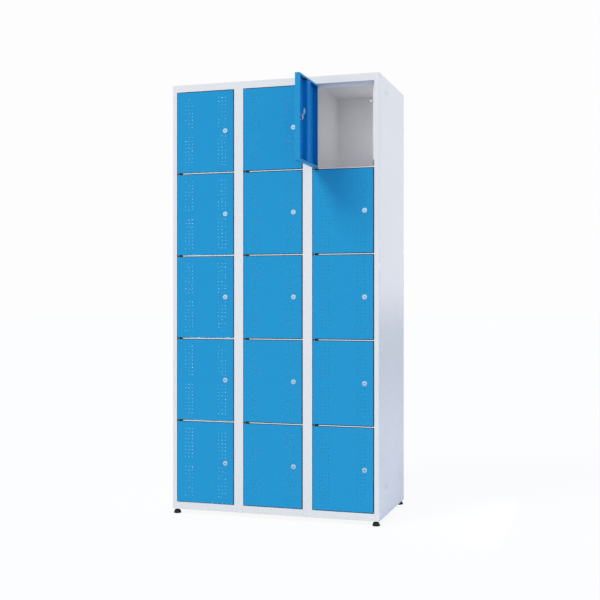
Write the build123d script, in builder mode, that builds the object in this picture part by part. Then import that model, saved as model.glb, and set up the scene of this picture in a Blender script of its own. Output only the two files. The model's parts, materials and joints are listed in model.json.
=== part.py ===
from build123d import *
import os

# A deposit cabinet of folded sheet steel, with fifteen small lockers in three columns of five.
# Sizes are in millimetres. X runs to the right, Y to the back and Z up. The origin lies on the outer face
# of the back panel, at the middle of its bottom edge.

# Body
body_width = 900.0
body_depth = 490.0
body_height = 1800.0
column_count = 3
row_count = 5
sheet = 0.8  # thickness of every folded sheet
corner_bend = 3.0  # outer radius of the bend between a side and its front stile
side_stile_width = 20.0
mid_stile_width = 40.0
rail_height = 30.0  # top rail and base
crossbar_height = 3.0  # folded front of a shelf, between two doors
stop_depth = 26.2  # from the front face to the lips that the doors close against
stop_width = 12.0
top_stop_height = 15.0
rear_flange = 15.0  # upright flanges that carry the back panel
top_rear_flange = 8.0
shelf_flange = 12.0  # folded edges of a shelf
base_flange = 20.0
base_return = 26.0
partition_flange = 24.0  # front flange, from the middle of a partition

# Ventilation slots in the sides and holes in the back for wall screws
slot_height = 22.0
slot_width = 5.0
slot_setbacks = (112.0, 152.0, 408.0)  # behind the front face
slot_drop = 60.0  # upper slots, below the top
slot_rise = 119.0  # lower slots, above the base
wall_hole_radius = 3.5
wall_hole_drop = 15.0

# Doors
door_depth = 20.0
hinge_gap = 2.5  # beside the hinge edge of a door
lock_gap = 4.0  # beside its other edge
end_gap = 2.5  # above and below it
door_lip = 8.0
stiffener_width = 42.0
stiffener_flange = 10.0
stiffener_depth = 18.0
stiffener_end_gap = 9.0
open_door = "c1"
open_angle = 90.0  # how far that door stands open

# Hinges: short rods through blocks, which reach into the ends of the doors
pivot_inset = 5.0  # from the hinge edge of a door to the axis of its rod
pivot_setback = 5.0  # from the front face to the same axis
rod_radius = 2.5  # to the edges of the rods
rod_sides = 8
rod_reach = 5.0  # beyond the end sheet of a door
running_clearance = 0.06  # of a turning part in its hole, on the radius
seat_clearance = 0.05  # between parts that are set into each other
block_width = 28.0

# Locks
lock_inset = 40.0  # from the axis of a lock to the jamb beside it
bezel_radius = 11.0
bezel_height = 2.5
barrel_width = 16.0
barrel_height = 18.0
barrel_length = 17.7  # behind the face of the door
plug_radius = 5.0
plug_sink = 0.5  # front of the plug, below the bezel
plug_tail = 0.3  # back of the plug, beyond the barrel
keyway_length = 7.0
keyway_width = 1.6
keyway_depth = 3.0
cam_length = 35.0
cam_width = 14.0
cam_sheet = 2.0
cam_hub = 9.0  # from the axis to the first bend, and to the short end
cam_step_run = 8.0
cam_stop_gap = 0.6  # from the tip of a cam to the lip that it catches

# Door buffers
buffer_width = 9.0
buffer_height = 22.0
buffer_rise = 8.0  # above the shelf
buffer_slope = 2.0
buffer_gap = 0.3  # to the back of a closed door

# Feet and the plates that carry them
foot_height = 20.0
foot_radius = 15.0
foot_neck_radius = 7.0
foot_rim = 4.0  # height of the straight rim
foot_sides = 20
plate_size = 44.0
plate_sheet = 3.0

# Places that follow from the sizes above
front_y = -body_depth
stop_y = front_y + stop_depth
behind_stop_y = stop_y + sheet
partition_front_y = behind_stop_y + sheet
back_y = -sheet
inner_back_y = back_y - sheet
side_x = body_width / 2
side_inner_x = side_x - sheet
jamb_x = side_x - side_stile_width
ceiling_z = body_height - rail_height
stop_top_z = ceiling_z - top_stop_height
under_top_z = body_height - sheet
opening_width = (body_width - 2 * side_stile_width - (column_count - 1) * mid_stile_width) / column_count
opening_height = (ceiling_z - rail_height - (row_count - 1) * crossbar_height) / row_count
column_pitch = opening_width + mid_stile_width
row_pitch = opening_height + crossbar_height
column_places = [(i - (column_count - 1) / 2) * column_pitch for i in range(column_count)]
row_places = [ceiling_z - opening_height - i * row_pitch for i in range(row_count)]  # floors of the openings
door_width = opening_width - hinge_gap - lock_gap
door_height = opening_height - 2 * end_gap
pivot_y = front_y + pivot_setback
pivot_x = pivot_inset + hinge_gap - opening_width / 2  # from the middle of a column
stop_reach = opening_width / 2 - stop_width  # from the middle of a column to the edge of its lips
shelf_reach = min(side_inner_x - column_places[-1], (column_pitch - sheet) / 2)

os.makedirs("parts", exist_ok=True)


def folded(points, side, thickness=sheet, bend=0.0, bend_place=(0, 0)):
    """Section of a folded sheet, whose outer face runs through the points. One of its bends may be rounded."""
    with BuildSketch() as section:
        with BuildLine() as outline:
            Polyline(*points)
            if bend:
                fillet(outline.vertices().sort_by_distance(bend_place)[0], radius=bend)
            offset(amount=thickness, side=side, kind=Kind.INTERSECTION)
        make_face()
    return section.sketch


def strip(low, high):
    """Flat strip of sheet or straight notch between two opposite corners."""
    size = [b - a for a, b in zip(low, high)]
    with BuildPart(mode=Mode.PRIVATE) as piece:
        with Locations(low):
            Box(*size, align=(Align.MIN, Align.MIN, Align.MIN))
    return piece.part


def write(piece, name):
    piece.label = name
    export_step(piece, "parts/" + name + ".step")


# Side panels: one sheet makes the side, the front stile, the jamb and the stop lip
with BuildPart() as right_side:
    with BuildSketch():
        side_points = [
            (side_x - rear_flange, back_y),
            (side_x, back_y),
            (side_x, front_y),
            (jamb_x, front_y),
            (jamb_x, stop_y),
            (jamb_x - stop_width, stop_y),
        ]
        add(folded(side_points, Side.RIGHT, bend=corner_bend, bend_place=(side_x, front_y)))
    extrude(amount=under_top_z)
    for low_z, high_z in ((0, rail_height), (stop_top_z, under_top_z)):
        lip_end = strip((jamb_x - stop_width, stop_y, low_z), (jamb_x, behind_stop_y, high_z))
        add(lip_end, mode=Mode.SUBTRACT)
    add(strip((jamb_x, front_y + sheet, 0), (jamb_x + sheet, behind_stop_y, plate_sheet)), mode=Mode.SUBTRACT)
    with BuildSketch(Plane.YZ.offset(side_inner_x)):
        for slot_z in (slot_rise, body_height - slot_drop):
            with Locations(*[(front_y + setback, slot_z) for setback in slot_setbacks]):
                Rectangle(slot_width, slot_height)
    extrude(amount=sheet, mode=Mode.SUBTRACT)
write(right_side.part, "right_side_panel")

with BuildPart() as left_side:
    add(mirror(right_side.part, about=Plane.YZ))
write(left_side.part, "left_side_panel")

# Top panel: folded down at the front as the top rail, then back and down as a stop lip
with BuildPart() as top:
    with BuildSketch(Plane.YZ):
        top_points = [
            (back_y, body_height - top_rear_flange),
            (back_y, body_height),
            (front_y, body_height),
            (front_y, ceiling_z),
            (stop_y, ceiling_z),
            (stop_y, stop_top_z),
        ]
        add(folded(top_points, Side.LEFT))
    extrude(amount=jamb_x, both=True)
    with BuildSketch(Plane.XY.offset(under_top_z)) as lid:
        with Locations((0, back_y)):
            Rectangle(body_width, body_depth - sheet, align=(Align.CENTER, Align.MAX))
        fillet(lid.vertices().group_by(Axis.Y)[0], radius=corner_bend)
    extrude(amount=sheet)
write(top.part, "top_panel")

# Bottom panel: the floor, the base front and the flanges that stiffen them
with BuildPart() as bottom:
    with BuildSketch(Plane.YZ):
        bottom_points = [
            (inner_back_y, rail_height - base_flange),
            (inner_back_y, rail_height),
            (front_y, rail_height),
            (front_y, 0),
            (front_y + base_return, 0),
        ]
        add(folded(bottom_points, Side.LEFT))
    extrude(amount=jamb_x, both=True)
    with BuildSketch(Plane.XZ.offset(-inner_back_y)):
        floor_points = [
            (side_inner_x, rail_height - base_flange),
            (side_inner_x, rail_height),
            (-side_inner_x, rail_height),
            (-side_inner_x, rail_height - base_flange),
        ]
        add(folded(floor_points, Side.LEFT))
    extrude(amount=inner_back_y - behind_stop_y)
    for end in (-1, 1):
        near_x, far_x = sorted((end * (side_inner_x - plate_size), end * jamb_x))
        add(strip((near_x, front_y + sheet, 0), (far_x, front_y + base_return, sheet)), mode=Mode.SUBTRACT)
write(bottom.part, "bottom_panel")

# Back panel, with a hole for a wall screw above each outer column
with BuildPart() as back:
    with BuildSketch(Plane.XZ):
        with Locations((0, body_height / 2)):
            Rectangle(body_width, body_height)
        with Locations(*[(x, body_height - wall_hole_drop) for x in (column_places[0], column_places[-1])]):
            Circle(wall_hole_radius, mode=Mode.SUBTRACT)
    extrude(amount=sheet)
write(back.part, "back_panel")

# Stile between two columns, with a stop lip on each side
half_face = mid_stile_width / 2
half_stile = half_face + stop_width
with BuildPart() as stile:
    with BuildSketch(Plane.XY.offset(rail_height)):
        stile_points = [
            (-half_stile, stop_y),
            (-half_face, stop_y),
            (-half_face, front_y),
            (half_face, front_y),
            (half_face, stop_y),
            (half_stile, stop_y),
        ]
        add(folded(stile_points, Side.LEFT))
    extrude(amount=ceiling_z - rail_height)
    lip_ends = strip((-half_stile, stop_y, stop_top_z), (half_stile, behind_stop_y, ceiling_z))
    add(lip_ends, mode=Mode.SUBTRACT)

# Partition between two columns, welded to the back of a stile lip and to the back panel. A tab at its top
# closes the hollow of the top rail, so that no locker opens into the next one.
with BuildPart() as partition:
    with BuildSketch(Plane.XY.offset(rail_height)):
        partition_points = [
            (partition_flange, behind_stop_y),
            (-sheet / 2, behind_stop_y),
            (-sheet / 2, back_y),
            (rear_flange, back_y),
        ]
        add(folded(partition_points, Side.RIGHT))
    extrude(amount=under_top_z - rail_height)
    rail_tab = strip((-sheet / 2, front_y + sheet, ceiling_z + sheet), (sheet / 2, behind_stop_y, under_top_z))
    add(rail_tab)
    flange_end = strip(
        (-sheet / 2, inner_back_y, body_height - top_rear_flange), (rear_flange, back_y, under_top_z)
    )
    add(flange_end, mode=Mode.SUBTRACT)

for i in range(column_count - 1):
    between = chr(ord("a") + i) + chr(ord("b") + i)
    between_x = (column_places[i] + column_places[i + 1]) / 2
    with BuildPart() as placed_stile:
        with Locations((between_x, 0, 0)):
            add(stile.part)
    write(placed_stile.part, "stile_" + between)
    with BuildPart() as placed_partition:
        with Locations((between_x, 0, 0)):
            add(partition.part)
    write(placed_partition.part, "partition_" + between)

# Shelf, folded at the front into a thin crossbar and a stop lip. Its upper face is at height zero here.
block_depth = pivot_setback + rod_radius + seat_clearance
block_end_x = block_width - opening_width / 2
with BuildPart() as shelf:
    with BuildSketch(Plane.YZ):
        shelf_points = [
            (inner_back_y, -shelf_flange),
            (inner_back_y, 0),
            (front_y, 0),
            (front_y, -crossbar_height),
            (stop_y, -crossbar_height),
            (stop_y, -crossbar_height - stop_width),
        ]
        add(folded(shelf_points, Side.LEFT))
    extrude(amount=shelf_reach, both=True)
    for end in (-1, 1):
        for low_y, high_y, reach in (
            (front_y, stop_y, opening_width / 2),
            (stop_y, partition_front_y, stop_reach),
        ):
            near_x, far_x = sorted((end * reach, end * shelf_reach))
            notch = strip((near_x, low_y, -crossbar_height - stop_width), (far_x, high_y, 0))
            add(notch, mode=Mode.SUBTRACT)
        near_x, far_x = sorted((end * (shelf_reach - sheet), end * shelf_reach))
        add(strip((near_x, partition_front_y, -shelf_flange), (far_x, inner_back_y, 0)))
    block_notch = strip(
        (-opening_width / 2, front_y, -crossbar_height), (block_end_x, front_y + block_depth, 0)
    )
    add(block_notch, mode=Mode.SUBTRACT)

for column, place_x in enumerate(column_places):
    for row, place_z in enumerate(row_places[:-1]):
        with BuildPart() as placed_shelf:
            with Locations((place_x, 0, place_z)):
                add(shelf.part)
        write(placed_shelf.part, "shelf_" + chr(ord("a") + column) + str(row + 1))

# Hinge blocks fill the left end of each crossbar. A channel in the back of each one holds a hinge rod.
with BuildPart() as block:
    channel = 2 * (rod_radius + seat_clearance)
    with BuildSketch():
        with Locations((-opening_width / 2, front_y)):
            Rectangle(block_width, block_depth, align=(Align.MIN, Align.MIN))
        with Locations((pivot_x, pivot_y - channel / 2)):
            Rectangle(channel, channel, align=(Align.CENTER, Align.MIN), mode=Mode.SUBTRACT)
    extrude(amount=-crossbar_height)
with BuildPart() as blocks:
    with Locations(*[(x, 0, z) for x in column_places for z in row_places[:-1]]):
        add(block.part)
write(blocks.part, "hinge_blocks")

# Hinge rods: one stands on the floor, one goes through each block and one hangs under the top rail
rod_length = end_gap + sheet + rod_reach  # from the edge of an opening into its door
with BuildPart() as rods:
    rod_ends = [(rail_height, rail_height + rod_length), (ceiling_z - rod_length, ceiling_z)]
    for place_z in row_places[:-1]:
        rod_ends.append((place_z - crossbar_height - rod_length, place_z + rod_length))
    for low_z, high_z in rod_ends:
        with BuildSketch(Plane.XY.offset(low_z)):
            with Locations(*[(x + pivot_x, pivot_y) for x in column_places]):
                RegularPolygon(rod_radius, rod_sides)
        extrude(amount=high_z - low_z)
write(rods.part, "hinge_rods")

# Rubber buffers on the right stop lips, low in each opening
with BuildPart() as buffer:
    buffer_depth = stop_depth - door_depth - buffer_gap
    with BuildSketch(Plane.YZ.offset(stop_reach + (stop_width - buffer_width) / 2)):
        with BuildLine():
            Polyline(
                (stop_y, buffer_rise),
                (stop_y - buffer_depth, buffer_rise + buffer_slope),
                (stop_y - buffer_depth, buffer_rise + buffer_height - buffer_slope),
                (stop_y, buffer_rise + buffer_height),
                close=True,
            )
        make_face()
    extrude(amount=buffer_width)
with BuildPart() as buffers:
    with Locations(*[(x, 0, z) for x in column_places for z in row_places]):
        add(buffer.part)
write(buffers.part, "door_buffers")

# Feet: flared pads under the plates in the corners of the base
foot_x = side_x - foot_radius
foot_places = [(x, y) for x in (-foot_x, foot_x) for y in (front_y + foot_radius, -foot_radius)]
with BuildPart() as foot:
    with BuildSketch(Plane.XY.offset(-foot_height)):
        RegularPolygon(foot_radius, foot_sides)
    extrude(amount=foot_rim)
    with BuildSketch(Plane.XY.offset(foot_rim - foot_height)):
        RegularPolygon(foot_radius, foot_sides)
    with BuildSketch():
        RegularPolygon(foot_neck_radius, foot_sides)
    loft(ruled=True)
with BuildPart() as feet:
    with Locations(*foot_places):
        add(foot.part)
write(feet.part, "feet")

with BuildPart() as plates:
    with BuildSketch() as plate_outline:
        plate_x = side_inner_x - plate_size / 2
        front_plate_y = front_y + sheet + plate_size / 2
        back_plate_y = inner_back_y - plate_size / 2
        with Locations(*[(x, y) for x in (-plate_x, plate_x) for y in (front_plate_y, back_plate_y)]):
            Rectangle(plate_size, plate_size)
        front_corners = plate_outline.vertices().group_by(Axis.Y)[0]
        chamfer([v for v in front_corners if abs(v.X) > foot_x], length=corner_bend)
    extrude(amount=plate_sheet)
write(plates.part, "foot_plates")

# Door leaf, a folded pan with lips at the back and a hat section welded inside. The axis of its hinge is
# the Z axis here, and its middle is at height zero.
leaf_x = door_width / 2 - pivot_inset
leaf_back_y = door_depth - pivot_setback
inner_front_y = sheet - pivot_setback
lock_x = opening_width / 2 - lock_inset - pivot_x
with BuildPart() as leaf:
    with BuildSketch(Plane.XZ.offset(pivot_setback)):
        with Locations((leaf_x, 0)):
            Rectangle(door_width, door_height)
    extrude(amount=-door_depth)
    offset(amount=-sheet, openings=leaf.faces().sort_by(Axis.Y)[-1])
    with BuildSketch(Plane.XZ.offset(-leaf_back_y)):
        with Locations((leaf_x, 0)):
            Rectangle(door_width, door_height)
            Rectangle(door_width - 2 * door_lip, door_height - 2 * door_lip, mode=Mode.SUBTRACT)
    extrude(amount=sheet)
    with BuildSketch(Plane.XY.offset(-door_height / 2 + sheet + stiffener_end_gap)):
        left_x = leaf_x - stiffener_width / 2
        right_x = leaf_x + stiffener_width / 2
        crown_y = inner_front_y + stiffener_depth
        stiffener_points = [
            (left_x - stiffener_flange, inner_front_y),
            (left_x, inner_front_y),
            (left_x, crown_y),
            (right_x, crown_y),
            (right_x, inner_front_y),
            (right_x + stiffener_flange, inner_front_y),
        ]
        add(folded(stiffener_points, Side.LEFT))
    extrude(amount=door_height - 2 * (sheet + stiffener_end_gap))
    with BuildSketch(Plane.XY.offset(-door_height / 2)):
        rod_hole = 2 * (rod_radius + running_clearance)
        Rectangle(rod_hole, rod_hole)
    extrude(amount=door_height, mode=Mode.SUBTRACT)
    with BuildSketch(Plane.XZ.offset(pivot_setback)):
        with Locations((lock_x, 0)):
            Rectangle(barrel_width + 2 * seat_clearance, barrel_height + 2 * seat_clearance)
    extrude(amount=-sheet, mode=Mode.SUBTRACT)

# Lock case: a bezel on the face of the door and a barrel through it, bored for the plug
bezel_back_y = -pivot_setback - seat_clearance
bezel_front_y = bezel_back_y - bezel_height
barrel_end_y = bezel_back_y + barrel_length
with BuildPart() as case:
    with BuildSketch(Plane.XZ.offset(-bezel_front_y)):
        with Locations((lock_x, 0)):
            Circle(bezel_radius)
    extrude(amount=-bezel_height)
    with BuildSketch(Plane.XZ.offset(-bezel_back_y)):
        with Locations((lock_x, 0)):
            Rectangle(barrel_width, barrel_height)
    extrude(amount=-barrel_length)
    with BuildSketch(Plane.XZ.offset(-bezel_front_y)):
        with Locations((lock_x, 0)):
            RegularPolygon(plug_radius + running_clearance, 8, major_radius=False)
    extrude(amount=bezel_front_y - barrel_end_y, mode=Mode.SUBTRACT)

# Lock plug with its keyway
plug_front_y = bezel_front_y + plug_sink
plug_end_y = barrel_end_y + plug_tail
with BuildPart() as plug:
    with BuildSketch(Plane.XZ.offset(-plug_front_y)):
        with Locations((lock_x, 0)):
            Circle(plug_radius)
    extrude(amount=plug_front_y - plug_end_y)
    with BuildSketch(Plane.XZ.offset(-plug_front_y)):
        with Locations((lock_x, 0)):
            Rectangle(keyway_length, keyway_width)
    extrude(amount=-keyway_depth, mode=Mode.SUBTRACT)

# Lock cam: a cranked strip, whose tip turns in behind the stop lip
cam_hub_y = plug_end_y + seat_clearance
cam_tip_y = behind_stop_y - pivot_y + cam_stop_gap
with BuildPart() as cam:
    with BuildSketch(Plane.YZ.offset(lock_x)):
        cam_points = [
            (cam_hub_y, -cam_hub),
            (cam_hub_y, cam_hub),
            (cam_tip_y, cam_hub + cam_step_run),
            (cam_tip_y, cam_length),
        ]
        add(folded(cam_points, Side.RIGHT, thickness=cam_sheet))
    extrude(amount=cam_width / 2, both=True)

# Each door hangs on the rod of its column with its own lock
for column, place_x in enumerate(column_places):
    for row, place_z in enumerate(row_places):
        name = chr(ord("a") + column) + str(row + 1)
        swing = open_angle if name == open_door else 0
        hung = Location((place_x + pivot_x, pivot_y, place_z + opening_height / 2), (0, 0, -swing))
        with BuildPart() as door:
            with Locations(hung):
                add(leaf.part)
                add(case.part)
        write(door.part, "door_" + name)
        with BuildPart() as lock:
            with Locations(hung):
                add(plug.part)
                add(cam.part)
        write(lock.part, "lock_" + name)
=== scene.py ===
"""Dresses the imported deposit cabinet: perforated door leaves, cam locks, feet, buffers, paint and a studio."""

import json
import math

import bmesh
import bpy
from bpy.props import FloatProperty, FloatVectorProperty, IntProperty, PointerProperty, StringProperty
from bpy.types import Operator, Panel, PropertyGroup
from mathutils import Euler, Matrix, Vector


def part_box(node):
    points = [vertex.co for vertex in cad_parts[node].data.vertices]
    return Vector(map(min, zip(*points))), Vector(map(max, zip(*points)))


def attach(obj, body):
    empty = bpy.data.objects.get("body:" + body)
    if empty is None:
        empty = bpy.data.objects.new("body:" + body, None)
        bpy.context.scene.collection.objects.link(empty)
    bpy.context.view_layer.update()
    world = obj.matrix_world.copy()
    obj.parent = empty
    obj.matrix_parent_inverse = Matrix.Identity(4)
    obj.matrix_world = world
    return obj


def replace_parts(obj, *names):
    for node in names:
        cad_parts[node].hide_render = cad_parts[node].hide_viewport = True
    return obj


bl_info = {
    "name": "Deposit cabinet",
    "version": (1, 0, 0),
    "blender": (4, 5, 0),
    "location": "3D View > Sidebar > Cabinet",
    "description": "Makes the doors, locks, feet and finishes of a sheet steel deposit cabinet",
    "category": "Object",
}

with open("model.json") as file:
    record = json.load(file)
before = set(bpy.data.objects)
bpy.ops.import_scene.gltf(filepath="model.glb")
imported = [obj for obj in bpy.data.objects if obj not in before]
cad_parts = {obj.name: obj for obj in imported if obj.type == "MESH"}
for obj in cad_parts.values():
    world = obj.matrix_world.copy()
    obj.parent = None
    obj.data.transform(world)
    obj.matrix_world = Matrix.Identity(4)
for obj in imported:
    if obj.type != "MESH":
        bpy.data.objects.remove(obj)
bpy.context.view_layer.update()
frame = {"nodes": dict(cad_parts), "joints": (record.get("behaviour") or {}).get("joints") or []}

# Every door hangs on its own joint. Its leaf and its lock are made about the hinge axis and then hung there.
HINGES = {j["child"]: j for j in frame["joints"] if j["name"].endswith("_swing")}
DOORS = sorted(HINGES)
CARCASS_PAINT = [n for n in frame["nodes"]
                 if n.endswith("_panel") or n.split("_")[0] in ("stile", "partition", "shelf")]

# Profiles of turned pieces, ring by ring. Bezel and foot pad: how far inside the rim, and how far from the front or
# the ground. Washer: radius and height.
BEZEL_PROFILE = ((0.0024, 0.0), (0.0018, 0.0), (0.0007, 0.0004), (0.0, 0.0012))
PAD_PROFILE = ((0.0022, 0.0), (0.0006, 0.0006), (0.0, 0.0018), (0.0003, 0.0040), (0.0016, 0.0078),
               (0.0035, 0.0118), (0.0056, 0.0150), (0.0072, 0.0166))
WASHER_PROFILE = ((0, 0), (0.0056, 0), (0.0058, 0.0002), (0.0058, 0.0009), (0.0056, 0.0011), (0, 0.0011))
SHARP = math.radians(35)  # edges of smooth meshes that turn by more than this stay sharp


def length(name, description, default, **more):
    """A size in metres."""
    return FloatProperty(name=name, description=description, default=default, unit="LENGTH", precision=5, **more)


def angle(name, description, degrees):
    """An angle, given in degrees."""
    return FloatProperty(name=name, description=description, default=math.radians(degrees), subtype="ANGLE")


def colour(name, description, default):
    """A colour without its alpha."""
    return FloatVectorProperty(
        name=name, description=description, default=default, size=3, min=0, max=1, subtype="COLOR")


def strength(name, description, default, **more):
    """A strength or power of light."""
    return FloatProperty(name=name, description=description, default=default, min=0, **more)


class DoorSizes(PropertyGroup):
    """Sizes of a door leaf."""
    width: length("Width", "Width of a leaf", 0.2522)
    height: length("Height", "Height of a leaf", 0.3392)
    depth: length("Depth", "Depth of the folded pan", 0.020)
    sheet: length("Sheet", "Thickness of the sheet", 0.0008)
    fold: length("Fold radius", "Outer radius of the folds", 0.0010)
    lip: length("Lip", "Width of the lips at the back", 0.008)
    hinge_inset: length("Hinge inset", "From the hinge edge to the hinge axis", 0.0047)
    hinge_setback: length("Hinge setback", "From the face to the hinge axis", 0.005)
    rod_hole: length("Rod hole", "Radius of the holes for the hinge rod", 0.0027)
    hole: length("Perforation", "Radius of a ventilation hole", 0.0016)
    pitch: length("Pitch", "From one ventilation hole to the next", 0.015)
    strip_inset: length("Strip inset", "From the hinge edge to the first perforated strip", 0.030)
    strip_apart: length("Strip distance", "From the first perforated strip to the second", 0.150)
    strip_start: length("Strip start", "From mid-height to the first cell of a strip", 0.0135)
    columns: IntProperty(name="Columns", description="Columns of holes in a strip", default=3, min=1)
    rows: IntProperty(name="Rows", description="Rows of holes above and below the lock", default=9, min=1)
    stiffener_width: length("Stiffener width", "Width of the stiffener's crown", 0.042)
    stiffener_flange: length("Stiffener flange", "Width of its welded flanges", 0.010)
    stiffener_depth: length("Stiffener depth", "Depth of the stiffener", 0.018)
    stiffener_gap: length("Stiffener end gap", "From the end of the stiffener to the fold", 0.009)
    rivet_drop: length("Rivet drop", "From the end of a leaf to its rivet", 0.033)
    rivet: length("Rivet", "Radius of a rivet head", 0.0030)


class LockSizes(PropertyGroup):
    """Sizes of a cam lock, about the hinge axis of its door."""
    place: length("Place", "From the hinge axis to the axis of the lock", 0.2125)
    bezel: length("Bezel", "Radius of the bezel", 0.0102)
    bezel_height: length("Bezel height", "From the face of the door to the front of the bezel", 0.0025)
    barrel: length("Barrel", "Radius of the threaded barrel", 0.009)
    barrel_flat: length("Barrel flats", "Half width of the barrel across its flats", 0.0074)
    barrel_end: length("Barrel end", "Back end of the barrel, behind the hinge axis", 0.01265)
    clearance: length("Clearance", "Between a hole and what goes through it", 0.0001)
    thread: length("Thread", "Depth of the thread", 0.0005)
    thread_start: length("Thread start", "Plain length of the barrel behind the face", 0.001)
    nut: length("Nut", "Half width of the nut across its flats", 0.0115)
    nut_height: length("Nut height", "Thickness of the nut", 0.004)
    plug: length("Plug", "Radius of the turning plug", 0.005)
    plug_sink: length("Plug sink", "Front of the plug below the bezel", 0.0005)
    keyway: length("Keyway", "Length of the keyway", 0.007)
    keyway_width: length("Keyway width", "Width of the keyway", 0.0018)
    keyway_depth: length("Keyway depth", "Depth of the keyway", 0.0030)
    cam: length("Cam", "From the axis to the tip of the cam", 0.035)
    cam_hub: length("Cam hub", "From the axis to the first bend", 0.009)
    cam_step: length("Cam step", "Run of the cranked part", 0.008)
    cam_width: length("Cam width", "Width of the cam", 0.014)
    cam_sheet: length("Cam thickness", "Thickness of the cam", 0.002)
    cam_bend: length("Cam bends", "Radius of the bends and of the corners of the tip", 0.003)
    cam_near: length("Cam hub place", "Front face of the hub, behind the hinge axis", 0.013)
    cam_far: length("Cam tip place", "Front face of the tip, behind the hinge axis", 0.0226)


class FootSizes(PropertyGroup):
    """Sizes of a foot pad."""
    height: length("Height", "Height of a foot", 0.020)
    radius: length("Radius", "Radius of the pad", 0.0158)
    neck: length("Neck", "Radius of the neck under the base", 0.007)
    neck_start: length("Neck start", "Height at which the neck starts", 0.0174)


class BufferSizes(PropertyGroup):
    """Sizes of a rubber buffer."""
    slope: length("Slope", "How far its ends lean in", 0.002)
    rounding: length("Rounding", "Radius of its edges", 0.0012)


class Finishes(PropertyGroup):
    """Colours of the finishes."""
    body: colour("Body", "Powder coat of the body", (0.842, 0.838, 0.850))
    door: colour("Doors", "Powder coat of the doors", (0.020, 0.331, 0.660))
    # The inside colour is deeper than the doors' own blue: painted shade, standing in for the shade inside the folded
    # pans.
    inside: colour("Inside of the doors", "Powder coat inside the doors, deepened as painted shade", (0.006, 0.245, 0.655))
    # The plating colour's blue cast is a painted reflection of the blue door paint round the locks.
    nickel_and_painted_reflection: colour("Nickel", "Plating of the locks", (0.60, 0.83, 0.98))
    zinc: colour("Zinc", "Plating of the rods", (0.52, 0.58, 0.66))
    black: colour("Black plastic", "Hinge blocks and feet", (0.006, 0.006, 0.008))
    rubber: colour("Rubber", "Door buffers", (0.022, 0.022, 0.023))


class StageSettings(PropertyGroup):
    """Camera, lamps and floor."""
    camera_place: FloatVectorProperty(
        name="Camera", description="Place of the camera", default=(1.3686, -4.512, 0.888), subtype="TRANSLATION")
    camera_turn: angle("Camera turn", "Turn of the camera about the vertical", 17.27)
    lens: FloatProperty(name="Lens", description="Focal length on a 36 mm sensor", default=61.67, min=10)
    floor: colour("Floor", "Colour of the floor", (0.61, 0.64, 0.72))
    backdrop: colour("Backdrop", "Colour of the background", (0.982, 0.982, 0.982))
    sky: strength("Sky", "Strength of the even light from all round", 0.715)
    key: strength("Key", "Strength of the soft lamp on the left", 1.80)
    upper: strength("Upper side", "Power of the lamp at the side's upper half", 0.61, unit="POWER")
    lower: strength("Lower side", "Power of the lamp at the side's foot", 0.98, unit="POWER")
    inner: strength("Open locker", "Power of the small lamp in the open locker", 0.22, unit="POWER")
    closed: strength("Closed lockers", "Power of each lamp in the first column's closed lockers", 0.56, unit="POWER")


class CabinetSettings(PropertyGroup):
    """All sizes and colours that can be set."""
    door: PointerProperty(type=DoorSizes)
    lock: PointerProperty(type=LockSizes)
    foot: PointerProperty(type=FootSizes)
    buffer: PointerProperty(type=BufferSizes)
    finish: PointerProperty(type=Finishes)
    stage: PointerProperty(type=StageSettings)
    open_door: StringProperty(name="Open door", description="The door that stands open", default="door_c1")
    open_angle: angle("Open angle", "How far it stands open", 90)


# Shapes

def lofted(bm, rings, closed=False):
    """Skin through rings of points. A ring of one point ends it, and closed joins its last ring to its first."""
    made = [[bm.verts.new(p) for p in ring] for ring in rings]
    pairs = list(zip(made, made[1:]))
    if closed:
        pairs.append((made[-1], made[0]))
    for low, high in pairs:
        count = max(len(low), len(high))
        for i in range(count):
            j = (i + 1) % count
            corners = [low[i % len(low)], low[j % len(low)], high[j % len(high)], high[i % len(high)]]
            corners = list(dict.fromkeys(corners))
            if len(corners) > 2:
                bm.faces.new(corners)


def circle(radius, along, count=48):
    """Ring of points about the lock axis, at one depth."""
    if radius == 0:
        return [(0, along, 0)]
    turns = [2 * math.pi * i / count for i in range(count)]
    return [(radius * math.cos(t), along, radius * math.sin(t)) for t in turns]


def hexagon(half_width, along, count=48):
    """Ring of points on a hexagon, flat sides up and down."""
    points = []
    for i in range(count):
        t = 2 * math.pi * i / count
        off = (t + math.pi / 2 + math.pi / 6) % (math.pi / 3) - math.pi / 6
        reach = half_width / math.cos(off)
        points.append((reach * math.cos(t), along, reach * math.sin(t)))
    return points


def slot_outline(half_length, half_width, along, count=48):
    """Ring of points on a slot with small rounded corners."""
    squareness = 0.35
    points = []
    for i in range(count):
        c = math.cos(2 * math.pi * i / count)
        s = math.sin(2 * math.pi * i / count)
        points.append((half_length * math.copysign(abs(c) ** squareness, c), along,
                       half_width * math.copysign(abs(s) ** squareness, s)))
    return points


def rounded_path(points, radius, steps=4):
    """The points of a path in one plane, with an arc of that radius at each inner corner."""
    path = [Vector(points[0])]
    for before, corner, after in zip(points, points[1:], points[2:]):
        corner = Vector(corner)
        back, ahead = (Vector(before) - corner).normalized(), (Vector(after) - corner).normalized()
        half = back.angle(ahead) / 2
        run = radius / math.tan(half)
        centre = corner + (back + ahead).normalized() * radius / math.sin(half)
        start, end = corner + back * run - centre, corner + ahead * run - centre
        for i in range(steps + 1):
            path.append(centre + start.slerp(end, i / steps).normalized() * radius)
    path.append(Vector(points[-1]))
    return path


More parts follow.
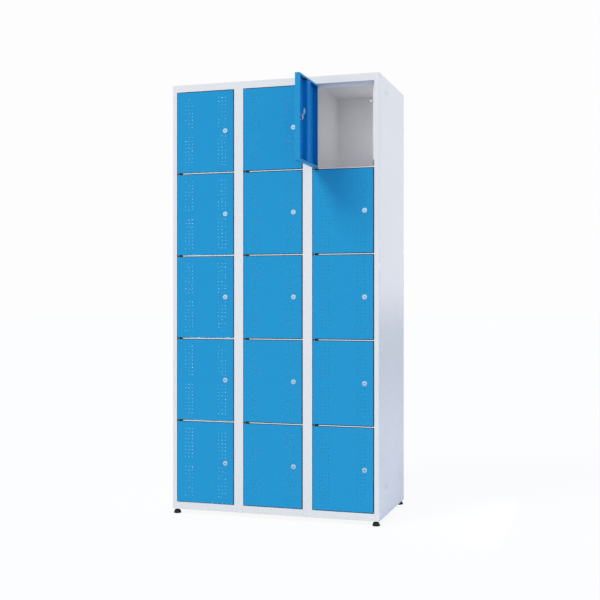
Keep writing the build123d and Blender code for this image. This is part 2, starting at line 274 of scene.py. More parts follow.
def mesh_of(bm, name, slots, thickness=0.0, side=-1):
    """Mesh with true sharp edges and even normals. A skin gets its thickness on the given side of its normals."""
    mesh = bpy.data.meshes.new(name)
    bm.to_mesh(mesh)
    bm.free()
    for paint in slots:
        mesh.materials.append(paint)
    piece = bpy.data.objects.new(name + "_making", mesh)
    bpy.context.scene.collection.objects.link(piece)
    if thickness:
        shell = piece.modifiers.new("thickness", "SOLIDIFY")
        shell.thickness = thickness
        shell.offset = side
        shell.use_even_offset = True
        shell.use_quality_normals = True
        shell.material_offset = len(slots) - 1
        mesh = settled(piece, name)
    bm = bmesh.new()
    bm.from_mesh(mesh)
    for face in bm.faces:
        face.smooth = True
    for edge in bm.edges:
        edge.smooth = len(edge.link_faces) == 2 and edge.calc_face_angle(0) < SHARP
    bm.to_mesh(mesh)
    bm.free()
    even = piece.modifiers.new("even normals", "WEIGHTED_NORMAL")
    even.keep_sharp = True
    mesh = settled(piece, name)
    bpy.data.objects.remove(piece)
    return mesh


def settled(piece, name):
    """The mesh that a piece's modifiers make, which takes the place of its own."""
    graph = bpy.context.evaluated_depsgraph_get()
    mesh = bpy.data.meshes.new_from_object(piece.evaluated_get(graph), preserve_all_data_layers=True, depsgraph=graph)
    old = piece.data
    piece.modifiers.clear()
    piece.data = mesh
    bpy.data.meshes.remove(old)
    mesh.name = name
    return mesh


def piece_of(mesh, name, body, place=Matrix.Identity(4)):
    """One piece on its body, at its place; its finishes come with its mesh."""
    piece = bpy.data.objects.new(name, mesh)
    bpy.context.scene.collection.objects.link(piece)
    piece.matrix_world = place
    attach(piece, body)
    return piece


def hung(door, settings):
    """Where the hinge axis of a door is, turned as far as the door stands open."""
    turn = -settings.open_angle if door == settings.open_door else 0
    return Matrix.Translation(HINGES[door]["pos_m"]) @ Matrix.Rotation(turn, 4, "Z")


def leaf_skin(door, lock):
    """Outer skin of a leaf: the perforated face, four walls with the rod holes, and the lips."""
    bm = bmesh.new()
    left, right = -door.hinge_inset, door.width - door.hinge_inset
    front, back = -door.hinge_setback, door.depth - door.hinge_setback
    half = door.height / 2
    strip = door.columns * door.pitch
    near = left + door.strip_inset
    far = near + door.strip_apart
    start, window = door.strip_start, lock.barrel + lock.clearance
    across = [left, 0.0] + [edge + i * door.pitch for edge in (near, far) for i in range(door.columns + 1)] + [right]
    climb = [start + i * door.pitch for i in range(door.rows + 1)]
    up = [-half] + [-z for z in reversed(climb)] + [-window, window] + climb + [half]
    grid = [[bm.verts.new((x, front, z)) for z in up] for x in across]
    middles = [(a + b) / 2 for a, b in zip(across, across[1:])]
    lock_cell = len(middles) - 2
    for i, x in enumerate(middles):
        holed = near < x < near + strip or far < x < far + strip
        for k in range(len(up) - 1):
            corners = [grid[i][k], grid[i + 1][k], grid[i + 1][k + 1], grid[i][k + 1]]
            centre = Vector((x, front, (up[k] + up[k + 1]) / 2))
            if holed and start < abs(centre.z) < climb[-1]:
                # A hole has twelve sides, and each side of its cell is joined to the nearest three of them
                rim = []
                for turn in range(12):
                    t = math.radians(225 + 30 * turn)
                    rim.append(bm.verts.new(centre + door.hole * Vector((math.cos(t), 0, math.sin(t)))))
                for c in range(4):
                    arc = [rim[(3 * c + n) % 12] for n in (3, 2, 1, 0)]
                    bm.faces.new([corners[c], corners[(c + 1) % 4]] + arc)
            elif not (i == lock_cell and centre.z == 0):
                bm.faces.new(corners)
    outline = {}
    for z, k in ((-half, 0), (half, -1)):
        rows = [column[k] for column in grid]
        ends = [bm.verts.new((x, back, z)) for x in (left, 0, right)]
        turns = [math.radians(-90 + 30 * i) for i in range(12)]
        ring = [bm.verts.new((door.rod_hole * math.cos(t), door.rod_hole * math.sin(t), z)) for t in turns]
        bm.faces.new(rows[:2] + [ring[0]] + [ring[-i] for i in range(1, 7)] + [ends[1], ends[0]])
        bm.faces.new(rows[1:] + [ends[2], ends[1]] + [ring[6 - i] for i in range(7)])
        inner = [bm.verts.new((x, back, z - math.copysign(door.lip, z))) for x in (left + door.lip, right - door.lip)]
        bm.faces.new(ends + inner[::-1])
        outline[k] = ends, inner
    for i, n in ((0, 0), (-1, 2)):
        bm.faces.new(grid[i] + [outline[-1][0][n], outline[0][0][n]])
        m = min(n, 1)
        bm.faces.new([outline[0][0][n], outline[-1][0][n], outline[-1][1][m], outline[0][1][m]])
    bmesh.ops.recalc_face_normals(bm, faces=bm.faces)
    bm.faces.ensure_lookup_table()
    if bm.faces[0].normal.y > 0:
        bmesh.ops.reverse_faces(bm, faces=bm.faces)
    folds = [e for e in bm.edges if len(e.link_faces) == 2 and e.calc_face_angle(0) > 1]
    bmesh.ops.bevel(bm, geom=folds, offset=door.fold, offset_type="OFFSET", segments=3, profile=0.5, affect="EDGES")
    return bm


def stiffener_skin(door):
    """Hat section that is welded up the middle of a leaf."""
    bm = bmesh.new()
    middle = door.width / 2 - door.hinge_inset
    half = door.height / 2 - door.sheet - door.stiffener_gap
    foot = door.sheet - door.hinge_setback
    crown = foot + door.stiffener_depth
    near, far = middle - door.stiffener_width / 2, middle + door.stiffener_width / 2
    section = rounded_path([
        (near - door.stiffener_flange, foot, 0), (near, foot, 0), (near, crown, 0),
        (far, crown, 0), (far, foot, 0), (far + door.stiffener_flange, foot, 0)], door.fold)
    for a, b in zip(section, section[1:]):
        corners = [bm.verts.new((p.x, p.y, z)) for p, z in ((a, -half), (b, -half), (b, half), (a, half))]
        bm.faces.new(corners[::-1])
    bmesh.ops.remove_doubles(bm, verts=bm.verts, dist=1e-6)
    return bm


def barrel_ring(lock, radius, along):
    """Ring of points on a barrel with two flats."""
    limit = lock.barrel_flat
    return [(max(-limit, min(limit, x)), y, z) for x, y, z in circle(radius, along)]


def lock_case(door, lock, plated):
    """Bezel, threaded barrel with two flats, and the nut that clamps them to the door."""
    bm = bmesh.new()
    face = -door.hinge_setback
    front = face - lock.bezel_height
    bore = lock.plug + lock.clearance
    mouth_width, mouth_depth = 0.0004, 0.0005
    rings = [circle(bore, lock.barrel_end), circle(bore, front + mouth_depth), circle(bore + mouth_width, front)]
    rings += [circle(lock.bezel - inset, front + drop) for inset, drop in BEZEL_PROFILE]
    rings += [circle(lock.bezel, face), barrel_ring(lock, lock.barrel, face)]
    step = 2 * lock.thread
    first = face + lock.thread_start
    for i in range(1, int((lock.barrel_end - first) / step)):
        root = lock.thread if i % 2 else 0
        rings.append(barrel_ring(lock, lock.barrel - root, first + i * step))
    rings.append(barrel_ring(lock, lock.barrel - lock.thread, lock.barrel_end))
    lofted(bm, rings, closed=True)
    seat = face + door.sheet
    bite, ease = lock.barrel - lock.thread / 2, 0.0006
    lofted(bm, [circle(bite, seat), hexagon(lock.nut, seat), hexagon(lock.nut, seat + lock.nut_height - ease),
                circle(lock.nut - ease, seat + lock.nut_height), circle(bite, seat + lock.nut_height)], closed=True)
    bmesh.ops.recalc_face_normals(bm, faces=bm.faces)
    return mesh_of(bm, "lock_case", [plated])


def lock_cam(door, lock, plated, dark):
    """Turning plug with its keyway, and the cranked cam that is screwed to its end."""
    bm = bmesh.new()
    front = -door.hinge_setback - lock.bezel_height + lock.plug_sink
    depth = front + lock.keyway_depth
    half_length, half_width = lock.keyway / 2, lock.keyway_width / 2
    rim, lead = 0.0003, 0.0002  # chamfers of the plug's rim and of the keyway
    lofted(bm, [circle(0, lock.cam_near), circle(lock.plug, lock.cam_near), circle(lock.plug, front + rim),
                circle(lock.plug - rim, front), slot_outline(half_length + lead, half_width + lead, front),
                slot_outline(half_length, half_width, front + lead), slot_outline(half_length, half_width, depth),
                circle(0, depth)])
    bmesh.ops.recalc_face_normals(bm, faces=bm.faces)
    for face in bm.faces:
        centre = face.calc_center_median()
        in_keyway = math.hypot(centre.x, centre.z) < half_length + lead / 2
        face.material_index = int(centre.y > front + rim and in_keyway)
    plug = mesh_of(bm, "lock_plug", [plated, dark])

    bm = bmesh.new()
    path = rounded_path([(0, lock.cam_near, -lock.cam_hub), (0, lock.cam_near, lock.cam_hub),
                         (0, lock.cam_far, lock.cam_hub + lock.cam_step), (0, lock.cam_far, lock.cam)],
                        lock.cam_bend)
    hub_steps, tip_steps = 10, 8
    stations = [path[0].lerp(path[1], i / hub_steps) for i in range(hub_steps)] + path[1:-1]
    stations += [path[-2].lerp(path[-1], i / tip_steps) for i in range(tip_steps + 1)]
    half, corner = lock.cam_width / 2, lock.cam_bend
    narrowest = 0.0008
    rows = []
    for p in stations:
        low, high = p.z + lock.cam_hub, lock.cam - p.z
        reach = half
        if low < half:
            reach = math.sqrt(max(0.0, half * half - (half - low) ** 2))
        elif high < corner:
            reach = half - corner + math.sqrt(max(0.0, corner ** 2 - (corner - high) ** 2))
        reach = max(reach, narrowest)
        rows.append([bm.verts.new((x * reach, p.y, p.z)) for x in (-1, 0, 1)])
    for low, high in zip(rows, rows[1:]):
        for i in (0, 1):
            bm.faces.new([low[i], low[i + 1], high[i + 1], high[i]])
    cam = mesh_of(bm, "lock_cam", [plated], lock.cam_sheet)

    bm = bmesh.new()
    base = lock.cam_near + lock.cam_sheet
    lofted(bm, [circle(radius, base + rise) for radius, rise in WASHER_PROFILE])
    base += WASHER_PROFILE[-1][1]
    shoulder, top, slot_floor = base + 0.0024, base + 0.0030, base + 0.0018
    flat, crown, slot = 0.004, 0.0036, (0.0030, 0.0006)
    lofted(bm, [circle(0, base), hexagon(flat, base), hexagon(flat, shoulder), circle(crown, top),
                slot_outline(*slot, top), slot_outline(*slot, slot_floor), circle(0, slot_floor)])
    bmesh.ops.recalc_face_normals(bm, faces=bm.faces)
    screw = mesh_of(bm, "cam_screw", [plated])
    return plug, cam, screw


# Finishes

class Nodes:
    """Short way to add nodes to a shader tree."""

    def __init__(self, tree):
        self.tree = tree

    def add(self, kind, **settings):
        node = self.tree.nodes.new("ShaderNode" + kind)
        links = {}
        for key, value in settings.items():
            if hasattr(node, key):
                setattr(node, key, value)
            else:
                links[key] = value
        for key, value in links.items():
            self.feed(node.inputs[key.replace("_", " ")], value)
        return node

    def feed(self, socket, value):
        if isinstance(value, bpy.types.NodeSocket):
            self.tree.links.new(value, socket)
        else:
            socket.default_value = value

    def math(self, operation, *values, clamp=False):
        node = self.add("Math", operation=operation, use_clamp=clamp)
        for socket, value in zip(node.inputs, values):
            self.feed(socket, value)
        return node.outputs[0]

    def mix(self, factor, a, b, blend="MIX"):
        node = self.add("Mix", data_type="RGBA", blend_type=blend)
        for socket, value in zip((node.inputs[0], node.inputs[6], node.inputs[7]), (factor, a, b)):
            self.feed(socket, value)
        return node.outputs[2]

    def noise(self, place, scale, detail=2.0, roughness=0.5):
        node = self.add("TexNoise", Scale=scale, Detail=detail, Roughness=roughness)
        self.feed(node.inputs["Vector"], place)
        return node.outputs[0]


def group(name, inputs, outputs):
    """An empty node group with those sockets, and its inner ends."""
    tree = bpy.data.node_groups.new(name, "ShaderNodeTree")
    for label, kind, default in inputs:
        socket = tree.interface.new_socket(name=label, in_out="INPUT", socket_type="NodeSocket" + kind)
        socket.default_value = default
    for label, kind in outputs:
        tree.interface.new_socket(name=label, in_out="OUTPUT", socket_type="NodeSocket" + kind)
    build = Nodes(tree)
    return tree, build, build.tree.nodes.new("NodeGroupInput").outputs, build.tree.nodes.new("NodeGroupOutput").inputs


def powder_coat_group():
    """Baked powder: orange peel, a fine speckle, slight drifts of tone over a large face, and pale edges: wear and
    painted highlight.
    """
    tree, build, given, made = group(
        "powder_coat",
        [("Colour", "Color", (0.8, 0.8, 0.8, 1)), ("Peel", "Float", 0.5), ("Drift", "Float", 0.04),
         ("Roughness", "Float", 0.4), ("Rub", "Float", 0.15)],
        [("Colour", "Color"), ("Roughness", "Float"), ("Height", "Float")])
    place = build.add("TexCoord").outputs["Object"]
    bare_steel_and_highlight = (0.9, 0.92, 0.95, 1)
    peel = build.noise(place, scale=420, detail=1.5, roughness=0.4)
    speckle = build.noise(place, scale=1900, detail=1.0)
    drift = build.noise(place, scale=2.2)
    tone = build.math("MULTIPLY", build.math("SUBTRACT", drift, 0.5), given["Drift"])
    tone = build.math("ADD", tone, build.math("MULTIPLY", build.math("SUBTRACT", speckle, 0.5), 0.015))
    shade = build.add("HueSaturation", Value=build.math("ADD", tone, 1.0), Color=given["Colour"]).outputs[0]
    # Every fold and hole rim is lightened toward a pale steel colour and made glossier: partly worn edges, partly a
    # painted highlight where rounded edges catch the light.
    soft = build.add("Bevel", samples=4, Radius=0.0009).outputs[0]
    true = build.add("NewGeometry").outputs["True Normal"]
    turn = build.add("VectorMath", operation="DOT_PRODUCT")
    build.feed(turn.inputs[0], soft)
    build.feed(turn.inputs[1], true)
    edge = build.math("MULTIPLY", build.math("SUBTRACT", 1.0, turn.outputs["Value"]), 6.0, clamp=True)
    rub_and_highlight = build.math("MULTIPLY", edge, given["Rub"])
    build.feed(made["Colour"], build.mix(rub_and_highlight, shade, bare_steel_and_highlight))
    rough = build.math("ADD", given["Roughness"], build.math("MULTIPLY", build.math("SUBTRACT", peel, 0.5), 0.12))
    build.feed(made["Roughness"], build.math("SUBTRACT", rough, build.math("MULTIPLY", rub_and_highlight, 0.2), clamp=True))
    build.feed(made["Height"], build.math("MULTIPLY", peel, given["Peel"]))
    return tree


def dust_group():
    """Dust that settles in patches on faces that look up."""
    tree, build, given, made = group(
        "settled_dust",
        [("Colour", "Color", (0.5, 0.5, 0.5, 1)), ("Roughness", "Float", 0.4), ("Amount", "Float", 0.1)],
        [("Colour", "Color"), ("Roughness", "Float")])
    split = build.add("SeparateXYZ", Vector=build.add("NewGeometry").outputs["Normal"])
    up = build.math("POWER", build.math("MAXIMUM", split.outputs["Z"], 0.0), 4.0)
    patch = build.noise(build.add("TexCoord").outputs["Object"], scale=14, detail=4.0, roughness=0.6)
    mask = build.math("MULTIPLY", build.math("MULTIPLY", up, patch), given["Amount"], clamp=True)
    dust = (0.62, 0.60, 0.57, 1)
    build.feed(made["Colour"], build.mix(mask, given["Colour"], dust))
    dull = build.math("MULTIPLY", mask, 0.5)
    build.feed(made["Roughness"], build.math("ADD", given["Roughness"], dull, clamp=True))
    return tree


def brushed_group():
    """Plated metal: fine lines of the polishing wheel and cloudy handling marks."""
    tree, build, given, made = group(
        "brushed_plating",
        [("Colour", "Color", (0.8, 0.8, 0.8, 1)), ("Roughness", "Float", 0.25), ("Lines", "Float", 0.2),
         ("Stretch", "Vector", (1.0, 1.0, 1.0))],
        [("Colour", "Color"), ("Roughness", "Float"), ("Height", "Float")])
    place = build.add("TexCoord").outputs["Object"]
    along = build.add("VectorMath", operation="MULTIPLY")
    build.feed(along.inputs[0], place)
    build.feed(along.inputs[1], given["Stretch"])
    lines = build.noise(along.outputs[0], scale=900)
    cloud = build.noise(place, scale=160, detail=3.0, roughness=0.6)
    tarnish = (0.42, 0.46, 0.50, 1)
    build.feed(made["Colour"], build.mix(build.math("MULTIPLY", cloud, 0.3), given["Colour"], tarnish))
    mark = build.math("MULTIPLY", build.math("SUBTRACT", cloud, 0.4), 0.18)
    build.feed(made["Roughness"], build.math("ADD", given["Roughness"], mark, clamp=True))
    build.feed(made["Height"], build.math("MULTIPLY", lines, given["Lines"]))
    return tree


def moulded_group():
    """Moulded plastic or rubber: a fine spark-eroded grain, and pale scuffs in patches."""
    tree, build, given, made = group(
        "moulded_grain",
        [("Colour", "Color", (0.02, 0.02, 0.02, 1)), ("Roughness", "Float", 0.5), ("Grain", "Float", 0.4),
         ("Scuff", "Float", 0.2)],
        [("Colour", "Color"), ("Roughness", "Float"), ("Height", "Float")])
    place = build.add("TexCoord").outputs["Object"]
    grain = build.noise(place, scale=1500, detail=1.0)
    wear = build.noise(place, scale=220, detail=4.0, roughness=0.7)
    worn = build.math("MULTIPLY", build.math("SUBTRACT", wear, 0.5), 3.0, clamp=True)
    pale = (0.16, 0.16, 0.16, 1)
    build.feed(made["Colour"], build.mix(build.math("MULTIPLY", worn, given["Scuff"]), given["Colour"], pale))
    rough = build.math("MULTIPLY", grain, 0.15)
    build.feed(made["Roughness"], build.math("ADD", given["Roughness"], rough, clamp=True))
    build.feed(made["Height"], build.math("MULTIPLY", grain, given["Grain"]))
    return tree


def finish_of(name, effect, bump, dust=None, **values):
    """Material of one finish: its effect feeds the colour, the roughness and the bump of a plain shader.

    A value whose name starts with shader_ goes on the shader, and any other on the effect.
    """
    made = bpy.data.materials.get(name)
    if made:
        return made
    made = bpy.data.materials.new(name)
    made.use_nodes = True
    shader = made.node_tree.nodes["Principled BSDF"]
    build = Nodes(made.node_tree)
    worked = build.tree.nodes.new("ShaderNodeGroup")
    worked.node_tree = effect
    for key, value in values.items():
        if key.startswith("shader_"):
            shader.inputs[key.removeprefix("shader_").replace("_", " ")].default_value = value
        else:
            worked.inputs[key].default_value = (*value, 1) if key == "Colour" else value
    tone, rough = worked.outputs["Colour"], worked.outputs["Roughness"]
    if dust:
        settling = build.tree.nodes.new("ShaderNodeGroup")
        settling.node_tree = dust[0]
        settling.inputs["Amount"].default_value = dust[1]
        build.feed(settling.inputs["Colour"], tone)
        build.feed(settling.inputs["Roughness"], rough)
        tone, rough = settling.outputs["Colour"], settling.outputs["Roughness"]
    build.feed(shader.inputs["Base Color"], tone)
    build.feed(shader.inputs["Roughness"], rough)
    relief = build.add("Bump", Strength=0.6, Distance=bump)
    build.feed(relief.inputs["Height"], worked.outputs["Height"])
    build.feed(shader.inputs["Normal"], relief.outputs[0])
    made.diffuse_color = (*values["Colour"], 1)
    return made


def finishes(settings):
    """All finishes of the cabinet by name."""
    made = bpy.data.node_groups
    powder = made.get("powder_coat") or powder_coat_group()
    dust = made.get("settled_dust") or dust_group()
    brushed = made.get("brushed_plating") or brushed_group()
    moulded = made.get("moulded_grain") or moulded_group()
    tones = settings.finish
    low, middle, high = 0.00002, 0.00003, 0.00004  # relief of the finishes, in metres
    return {
        "body_paint": finish_of(
            "pale_powder", powder, low, (dust, 0.10), Colour=tones.body, Roughness=0.26, Rub=0.10, shader_IOR=1.75),
        "door_paint": finish_of(
            "blue_powder", powder, low, (dust, 0.06), Colour=tones.door, Roughness=0.38, Rub=0.12,
            shader_Specular_IOR_Level=0.08),
        # Inner faces of the leaves and the stiffeners: the doors' blue deepened as painted shade.
        "door_inside_painted_shade": finish_of(
            "blue_powder_painted_shade", powder, low, (dust, 0.06), Colour=tones.inside, Roughness=0.42, Rub=0.06,
            shader_Specular_IOR_Level=0.04),
        # The plating gets a blue cast that is a painted reflection of the blue doors round the locks.
        "lock_metal": finish_of(
            "nickel_plate_and_painted_reflection", brushed, low, Colour=tones.nickel_and_painted_reflection, Roughness=0.24, Stretch=(1.0, 0.2, 1.0),
            shader_Metallic=1.0),
        "keyway_shade": finish_of(
            "keyway_shade", brushed, low, Colour=(0.05, 0.05, 0.05), Roughness=0.5, shader_Metallic=1.0),
        "zinc_steel": finish_of(
            "zinc_plate", brushed, low, Colour=tones.zinc, Roughness=0.32, Stretch=(1.0, 1.0, 0.05),
            shader_Metallic=1.0),
        "black_plastic": finish_of(
            "block_plastic", moulded, middle, Colour=tones.black, Roughness=0.38, Scuff=0.08),
        "foot_plastic": finish_of(
            "scuffed_plastic", moulded, middle, (dust, 0.04), Colour=tones.black, Roughness=0.34, Scuff=0.05,
            shader_Specular_IOR_Level=0.35),
        "black_rubber": finish_of(
            "buffer_rubber", moulded, high, Colour=tones.rubber, Roughness=0.62, Scuff=0.10),
    }


# Operators

class Maker(Operator):
    """Base of the operators, with the settings and the finishes at hand."""
    bl_options = {"REGISTER", "UNDO"}

    def execute(self, context):
        settings = context.scene.deposit_cabinet
        self.make(settings, finishes(settings))
        return {"FINISHED"}


class CABINET_OT_carcass(Maker):
    """Paints the folded sheets of the carcass and the hinge rods"""
    bl_idname = "cabinet.carcass"
    bl_label = "Paint the carcass"

    def make(self, settings, paints):
        if not CARCASS_PAINT:
            raise RuntimeError("the frame has no carcass panels")
        for name in CARCASS_PAINT + ["foot_plates", "hinge_rods", "hinge_blocks"]:
            slot = {"hinge_rods": "zinc_steel", "hinge_blocks": "black_plastic"}.get(name, "body_paint")
            node = frame["nodes"][name]
            node.data.materials.clear()
            node.data.materials.append(paints[slot])


class CABINET_OT_doors(Maker):
    """Folds the perforated door leaves with their stiffeners and rivets, and hangs them"""
    bl_idname = "cabinet.doors"
    bl_label = "Hang the doors"

    def make(self, settings, paints):
        door, lock = settings.door, settings.lock
        # The inner faces of a leaf take the second slot, the deeper blue of painted shade.
        both_sides = [paints["door_paint"], paints["door_inside_painted_shade"]]
        leaf = mesh_of(leaf_skin(door, lock), "door_leaf", both_sides, door.sheet)
        hat = mesh_of(stiffener_skin(door), "door_stiffener", [paints["door_inside_painted_shade"]], door.sheet, 1)
        bm = bmesh.new()
        wall, middle = door.sheet - door.hinge_inset, door.depth / 2 - door.hinge_setback
        height = 0.4 * door.rivet
        slopes = [math.radians(t) for t in (0, 20, 40, 60, 80)]
        dome = [circle(door.rivet * math.cos(t), height * math.sin(t), 24) for t in slopes]
        for side in (-1, 1):
            place = Matrix.Translation((wall, middle, side * (door.height / 2 - door.rivet_drop)))
            place @= Matrix.Rotation(math.radians(-90), 4, "Z")
            head = [circle(0, 0)] + dome + [circle(0, height)]
            lofted(bm, [[place @ Vector(p) for p in ring] for ring in head])
        bmesh.ops.recalc_face_normals(bm, faces=bm.faces)
        rivets = mesh_of(bm, "door_rivets", [paints["door_paint"]])
        for name in DOORS:
            place = hung(name, settings)
            piece = piece_of(leaf, name + "_leaf", name, place)
            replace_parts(piece, name)
            piece_of(hat, name + "_stiffener", name, place)
            piece_of(rivets, name + "_rivets", name, place)


class CABINET_OT_locks(Maker):
    """Turns the cam locks: bezel, barrel, nut, plug with keyway, cranked cam and its screw"""
    bl_idname = "cabinet.locks"
    bl_label = "Fit the locks"

    def make(self, settings, paints):
        door, lock = settings.door, settings.lock
        case = lock_case(door, lock, paints["lock_metal"])
        plug, cam, screw = lock_cam(door, lock, paints["lock_metal"], paints["keyway_shade"])
        for name in DOORS:
            place = hung(name, settings) @ Matrix.Translation((lock.place, 0, 0))
            node = name.replace("door", "lock")
            piece_of(case, node + "_case", name, place)
            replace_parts(piece_of(plug, node + "_plug", node, place), node)
            piece_of(cam, node + "_cam", node, place)
            piece_of(screw, node + "_screw", node, place)


class CABINET_OT_buffers(Maker):
    """Moulds the rubber buffers on the right stop lips"""
    bl_idname = "cabinet.buffers"
    bl_label = "Mould the door buffers"

    def make(self, settings, paints):
        # The places of the buffers are the boxes of the solids in their node
        bm = bmesh.new()
        bm.from_mesh(frame["nodes"]["door_buffers"].data)
        bmesh.ops.remove_doubles(bm, verts=bm.verts, dist=1e-6)
        left, boxes = set(bm.verts), []
        while left:
            found, ahead = set(), [left.pop()]
            while ahead:
                vert = ahead.pop()
                found.add(vert)
                for edge in vert.link_edges:
                    other = edge.other_vert(vert)
                    if other in left:
                        left.discard(other)
                        ahead.append(other)
            boxes.append([end(v.co[i] for v in found) for end in (min, max) for i in range(3)])
        bm.free()
        if not boxes:
            raise RuntimeError("the frame has no door buffers")
        slope, rounding = settings.buffer.slope, settings.buffer.rounding
        bm = bmesh.new()
        for x0, y0, z0, x1, y1, z1 in sorted(boxes):
            low, high = z0 + slope, z1 - slope
            face = [(x, y0, z) for x, z in ((x0, low), (x1, low), (x1, high), (x0, high))]
            base = [(x, y1, z) for x, z in ((x0, z0), (x1, z0), (x1, z1), (x0, z1))]
            before = set(bm.edges)
            lofted(bm, [face, base])
            # Known fault: after the first block the last points in the mesh aren't the new ones, so that the other
            # blocks stay open at the front and the back
            for ring in (0, 4):
                corners = [v for v in bm.verts if v.is_valid][-8:][ring:ring + 4]
                bm.faces.new(corners)
            edges = [e for e in bm.edges if e not in before and max(v.co.y for v in e.verts) < y1 or
                     e not in before and abs(e.verts[0].co.y - e.verts[1].co.y) > 1e-4]
            bmesh.ops.bevel(
                bm, geom=edges, offset=rounding, offset_type="OFFSET", segments=3, profile=0.5, affect="EDGES")
        bmesh.ops.recalc_face_normals(bm, faces=bm.faces)
        mesh = mesh_of(bm, "rubber_buffers", [paints["black_rubber"]])
        piece = piece_of(mesh, "rubber_buffers", "cabinet")
        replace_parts(piece, "door_buffers")


class CABINET_OT_feet(Maker):
    """Turns the flared foot pads"""
    bl_idname = "cabinet.feet"
    bl_label = "Turn the feet"

    def make(self, settings, paints):
        foot = settings.foot
        low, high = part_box("feet")
        section = [(0, 0)] + [(foot.radius - inset, rise) for inset, rise in PAD_PROFILE]
        section += [(foot.neck, foot.neck_start), (foot.neck, foot.height), (0, foot.height)]
        bm = bmesh.new()
        for x in (low.x + foot.radius, high.x - foot.radius):
            for y in (low.y + foot.radius, high.y - foot.radius):
                place = Matrix.Translation((x, y, low.z)) @ Matrix.Rotation(math.radians(90), 4, "X")
                lofted(bm, [[place @ Vector(p) for p in circle(r, along)] for r, along in section])
        bmesh.ops.recalc_face_normals(bm, faces=bm.faces)
        mesh = mesh_of(bm, "foot_pads", [paints["foot_plastic"]])
        piece = piece_of(mesh, "foot_pads", "cabinet")
        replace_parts(piece, "feet")


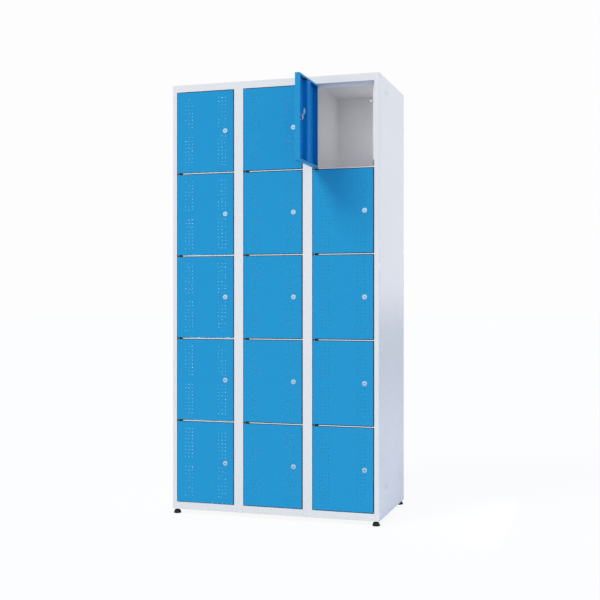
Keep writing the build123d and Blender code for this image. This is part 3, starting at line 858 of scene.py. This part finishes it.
class CABINET_OT_stage(Operator):
    """Sets up the floor, the backdrop, the lamps and the camera"""
    bl_idname = "cabinet.stage"
    bl_label = "Set the stage"
    bl_options = {"REGISTER", "UNDO"}

    def execute(self, context):
        settings = context.scene.deposit_cabinet
        stage = settings.stage
        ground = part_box("feet")[0].z
        gap = 0.0002  # from the feet down to the floor
        reach, sides = 60, 24
        turns = [math.radians(i * 360 / sides) for i in range(sides)]
        bm = bmesh.new()
        lofted(bm, [[(0, 0, 0)], [(reach * math.cos(t), reach * math.sin(t), 0) for t in turns]])
        mesh = bpy.data.meshes.new("studio_floor")
        bm.to_mesh(mesh)
        bm.free()
        floor = bpy.data.objects.new("studio_floor", mesh)
        floor.location.z = ground - gap
        context.scene.collection.objects.link(floor)
        surface = bpy.data.materials.new("studio_floor")
        surface.use_nodes = True
        build = Nodes(surface.node_tree)
        # The floor shows as the backdrop where it is seen, and only faintly in reflections
        seen_share, mirrored_share = 0.90, 0.10
        matt = build.add("BsdfDiffuse", Color=(*stage.floor, 1))
        glow = build.add("Emission", Color=(*stage.backdrop, 1), Strength=1.045)
        path = build.add("LightPath").outputs
        seen = build.math("MULTIPLY", path["Is Camera Ray"], seen_share)
        bent = build.math("MAXIMUM", path["Is Glossy Ray"], path["Is Transmission Ray"])
        mirrored = build.math("MULTIPLY", bent, mirrored_share)
        mix = build.add("MixShader")
        build.feed(mix.inputs[0], build.math("MAXIMUM", seen, mirrored))
        build.feed(mix.inputs[1], matt.outputs[0])
        build.feed(mix.inputs[2], glow.outputs[0])
        out = next(n for n in surface.node_tree.nodes if n.type == "OUTPUT_MATERIAL")
        build.feed(out.inputs["Surface"], mix.outputs[0])
        mesh.materials.append(surface)

        world = bpy.data.worlds.new("studio")
        context.scene.world = world
        world.use_nodes = True
        build = Nodes(world.node_tree)
        daylight = (0.755, 0.84, 1.0, 1)
        even = build.add("Background", Color=daylight, Strength=stage.sky)
        shown = build.add("Background", Color=(*stage.backdrop, 1), Strength=1.0)
        path = build.add("LightPath").outputs
        mix = build.add("MixShader")
        direct = build.math("MAXIMUM", path["Is Camera Ray"], path["Is Glossy Ray"])
        build.feed(mix.inputs[0], build.math("MAXIMUM", direct, path["Is Transmission Ray"]))
        build.feed(mix.inputs[1], even.outputs[0])
        build.feed(mix.inputs[2], shown.outputs[0])
        out = next(n for n in world.node_tree.nodes if n.type == "OUTPUT_WORLD")
        build.feed(out.inputs["Surface"], mix.outputs[0])

        warm, plain, cool, pale = (1.0, 0.93, 0.73), (1.0, 1.0, 1.0), (0.86, 0.91, 1.0), (0.54, 0.84, 1.0)
        # Each lamp has its name, kind, power, tone, place, tilt down and turn in degrees, and settings of its own
        lamps = [("key_lamp", "SUN", stage.key, warm, (0, 0, 4), 42, -35, {"angle": math.radians(25)}),
                 ("upper_lamp", "AREA", stage.upper, plain, (2.2, -0.105, 1.44), 0, 90,
                  {"shape": "RECTANGLE", "size": 0.95, "size_y": 1.18, "spread": math.radians(13)}),
                 ("lower_lamp", "AREA", stage.lower, cool, (0.95, -0.25, 0.08), 0, 90,
                  {"shape": "RECTANGLE", "size": 0.9, "size_y": 0.15})]
        # The lamps in the closed lockers light the back walls, which show through the holes near the locks
        in_open, in_closed = (0.16, 0.32, 0.03), (0.13, 0.12, 0)  # from the hinge to the lamp
        for door in DOORS:
            name = door.replace("door", "locker") + "_lamp"
            is_open = door == settings.open_door
            place = tuple(a + b for a, b in zip(HINGES[door]["pos_m"], in_open if is_open else in_closed))
            if is_open:
                lamps.append((name, "POINT", stage.inner, plain, place, 0, 0, {"shadow_soft_size": 0.03}))
            else:
                column = 1 + "abc".index(door[5])
                lamps.append((name, "AREA", stage.closed / column ** 2, pale, place, 0, 0, {"size": 0.12}))
        for name, kind, power, tone, place, tilt, turn, more in lamps:
            lamp = bpy.data.objects.new(name, bpy.data.lights.new(name, kind))
            lamp.data.energy = power
            lamp.data.color = tone
            for key, value in more.items():
                setattr(lamp.data, key, value)
            lamp.location = place
            lamp.rotation_euler = Euler((math.radians(90 - tilt), 0, math.radians(turn)))
            lamp.visible_camera = False
            lamp.visible_glossy = False
            context.scene.collection.objects.link(lamp)

        camera = bpy.data.objects.new("camera", bpy.data.cameras.new("camera"))
        camera.data.lens = stage.lens
        camera.data.sensor_width = 36
        camera.location = stage.camera_place
        camera.rotation_euler = Euler((math.radians(90), 0, stage.camera_turn))
        context.scene.collection.objects.link(camera)
        context.scene.camera = camera
        context.scene.view_settings.view_transform = "Standard"
        return {"FINISHED"}


class CABINET_PT_panel(Panel):
    """Lists the makers and the settings"""
    bl_idname = "CABINET_PT_panel"
    bl_label = "Deposit cabinet"
    bl_space_type = "VIEW_3D"
    bl_region_type = "UI"
    bl_category = "Cabinet"

    def draw(self, context):
        for maker in MAKERS:
            self.layout.operator(maker.bl_idname)
        settings = context.scene.deposit_cabinet
        self.layout.prop(settings, "open_door")
        self.layout.prop(settings, "open_angle")
        for part in (settings.door, settings.lock, settings.foot, settings.buffer, settings.finish, settings.stage):
            box = self.layout.box()
            for name in part.__annotations__:
                box.prop(part, name)


MAKERS = (CABINET_OT_carcass, CABINET_OT_doors, CABINET_OT_locks, CABINET_OT_buffers, CABINET_OT_feet,
          CABINET_OT_stage)
GROUPS = (DoorSizes, LockSizes, FootSizes, BufferSizes, Finishes, StageSettings, CabinetSettings)
CLASSES = GROUPS + MAKERS + (CABINET_PT_panel,)


def register():
    for item in CLASSES:
        bpy.utils.register_class(item)
    bpy.types.Scene.deposit_cabinet = PointerProperty(type=CabinetSettings)


def unregister():
    del bpy.types.Scene.deposit_cabinet
    for item in reversed(CLASSES):
        bpy.utils.unregister_class(item)


def main():
    register()
    for maker in (bpy.ops.cabinet.carcass, bpy.ops.cabinet.doors, bpy.ops.cabinet.locks, bpy.ops.cabinet.buffers,
                  bpy.ops.cabinet.feet, bpy.ops.cabinet.stage):
        maker()


if __name__ == "__main__":
    main()
